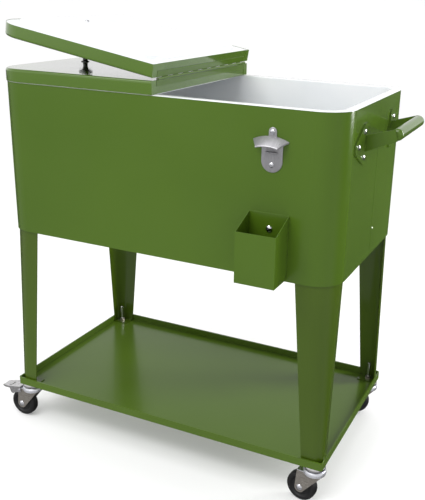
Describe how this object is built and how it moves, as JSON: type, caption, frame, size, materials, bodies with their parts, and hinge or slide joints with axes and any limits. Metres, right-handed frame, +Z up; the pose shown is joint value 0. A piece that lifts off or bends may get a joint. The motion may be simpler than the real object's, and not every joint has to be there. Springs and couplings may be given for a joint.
{
  "type": "cooler on wheels",
  "caption": "Rolling patio cooler: insulated tub on sheet legs with a shelf tray, swivel casters, a hinged two-part lid, an end handle, a bottle opener and a cap catcher.",
  "frame": {"origin": "centre of the bounding box in plan, on the floor under the wheels", "axes": "+Z up from the floor; +X towards the end with the push handle; +Y towards the back, so the bottle opener and cap catcher face -Y"},
  "size_m": [0.8704, 0.498, 0.9042],
  "materials": {
    "green_paint": "gloss",
    "white_plastic": "gloss",
    "insulating_foam": "matte",
    "black_knob": "gloss",
    "black_rubber": "satin",
    "stainless": "satin",
    "screw_steel": "bright",
    "zinc_plate": "satin",
    "wheel_rubber": "satin"
  },
  "bodies": {
    "tub": {"tub_shell": "green_paint", "tub_pan": "green_paint", "tub_foam": "insulating_foam", "tub_liner": "white_plastic", "end_rivet": "screw_steel", "drain_spout": "white_plastic", "drain_nut": "white_plastic", "handle_grip": "green_paint", "handle_bracket_front": "green_paint", "handle_bracket_back": "green_paint", "handle_screws": "screw_steel", "bottle_opener": "stainless", "opener_screws": "screw_steel", "cap_catcher": "green_paint", "catcher_screw": "screw_steel", "leg_front_left": "green_paint", "leg_front_right": "green_paint", "leg_back_left": "green_paint", "leg_back_right": "green_paint", "leg_bolts": "zinc_plate", "shelf_tray": "green_paint", "caster_stems": "zinc_plate", "caster_nuts": "zinc_plate"},
    "left_lid": {"left_lid_shell": "green_paint", "left_lid_foam": "insulating_foam", "left_lid_panel": "white_plastic", "left_knob": "black_knob", "left_knob_screw": "screw_steel", "left_hinge_leaf": "green_paint", "hinge_pin": "zinc_plate"},
    "right_lid": {"right_lid_shell": "green_paint", "right_lid_foam": "insulating_foam", "right_lid_panel": "white_plastic", "right_knob": "black_knob", "right_knob_screw": "screw_steel", "right_hinge_leaf": "green_paint"},
    "drain_plug": {"drain_plug": "black_rubber"},
    "caster_front_left": {"fork_front_left": "zinc_plate", "axle_front_left": "screw_steel", "brake_pin_front_left": "screw_steel"},
    "wheel_front_left": {"wheel_front_left": "wheel_rubber"},
    "brake_front_left": {"brake_pedal_front_left": "zinc_plate"},
    "caster_front_right": {"fork_front_right": "zinc_plate", "axle_front_right": "screw_steel"},
    "wheel_front_right": {"wheel_front_right": "wheel_rubber"},
    "caster_back_left": {"fork_back_left": "zinc_plate", "axle_back_left": "screw_steel"},
    "wheel_back_left": {"wheel_back_left": "wheel_rubber"},
    "caster_back_right": {"fork_back_right": "zinc_plate", "axle_back_right": "screw_steel", "brake_pin_back_right": "screw_steel"},
    "wheel_back_right": {"wheel_back_right": "wheel_rubber"},
    "brake_back_right": {"brake_pedal_back_right": "zinc_plate"}
  },
  "joints": [
    {"name": "lid_lift", "type": "slide", "parent": "tub", "child": "left_lid", "axis": [0, 0, 1], "range_m": [0, 0.08]},
    {"name": "lid_hinge", "type": "hinge", "parent": "left_lid", "child": "right_lid", "pos_m": [-0.00385, 0.0175, 0.8122], "axis": [0, 1, 0], "range_deg": [0, 170.3]},
    {"name": "drain_plug_pull", "type": "slide", "parent": "tub", "child": "drain_plug", "axis": [0, 1, 0], "range_m": [0, 0.025]},
    {"name": "swivel_front_left", "type": "hinge", "parent": "tub", "child": "caster_front_left", "pos_m": [-0.35385, -0.1695, 0.08], "axis": [0, 0, 1], "continuous": true},
    {"name": "roll_front_left", "type": "hinge", "parent": "caster_front_left", "child": "wheel_front_left", "pos_m": [-0.37985, -0.1695, 0.03175], "axis": [0, -1, 0], "continuous": true},
    {"name": "brake_front_left", "type": "hinge", "parent": "caster_front_left", "child": "brake_front_left", "pos_m": [-0.38385, -0.1695, 0.067], "axis": [0, -1, 0], "range_deg": [-8, 0]},
    {"name": "swivel_front_right", "type": "hinge", "parent": "tub", "child": "caster_front_right", "pos_m": [0.34615, -0.1695, 0.08], "axis": [0, 0, 1], "continuous": true},
    {"name": "roll_front_right", "type": "hinge", "parent": "caster_front_right", "child": "wheel_front_right", "pos_m": [0.32041, -0.16588, 0.03175], "axis": [-0.1392, -0.9903, 0], "continuous": true},
    {"name": "swivel_back_left", "type": "hinge", "parent": "tub", "child": "caster_back_left", "pos_m": [-0.35385, 0.2045, 0.08], "axis": [0, 0, 1], "continuous": true},
    {"name": "roll_back_left", "type": "hinge", "parent": "caster_back_left", "child": "wheel_back_left", "pos_m": [-0.37985, 0.2045, 0.03175], "axis": [0, -1, 0], "continuous": true},
    {"name": "swivel_back_right", "type": "hinge", "parent": "tub", "child": "caster_back_right", "pos_m": [0.34615, 0.2045, 0.08], "axis": [0, 0, 1], "continuous": true},
    {"name": "roll_back_right", "type": "hinge", "parent": "caster_back_right", "child": "wheel_back_right", "pos_m": [0.32022, 0.20631, 0.03175], "axis": [-0.0698, -0.9976, 0], "continuous": true},
    {"name": "brake_back_right", "type": "hinge", "parent": "caster_back_right", "child": "brake_back_right", "pos_m": [0.31623, 0.20659, 0.067], "axis": [-0.0698, -0.9976, 0], "range_deg": [-8, 0]}
  ]
}
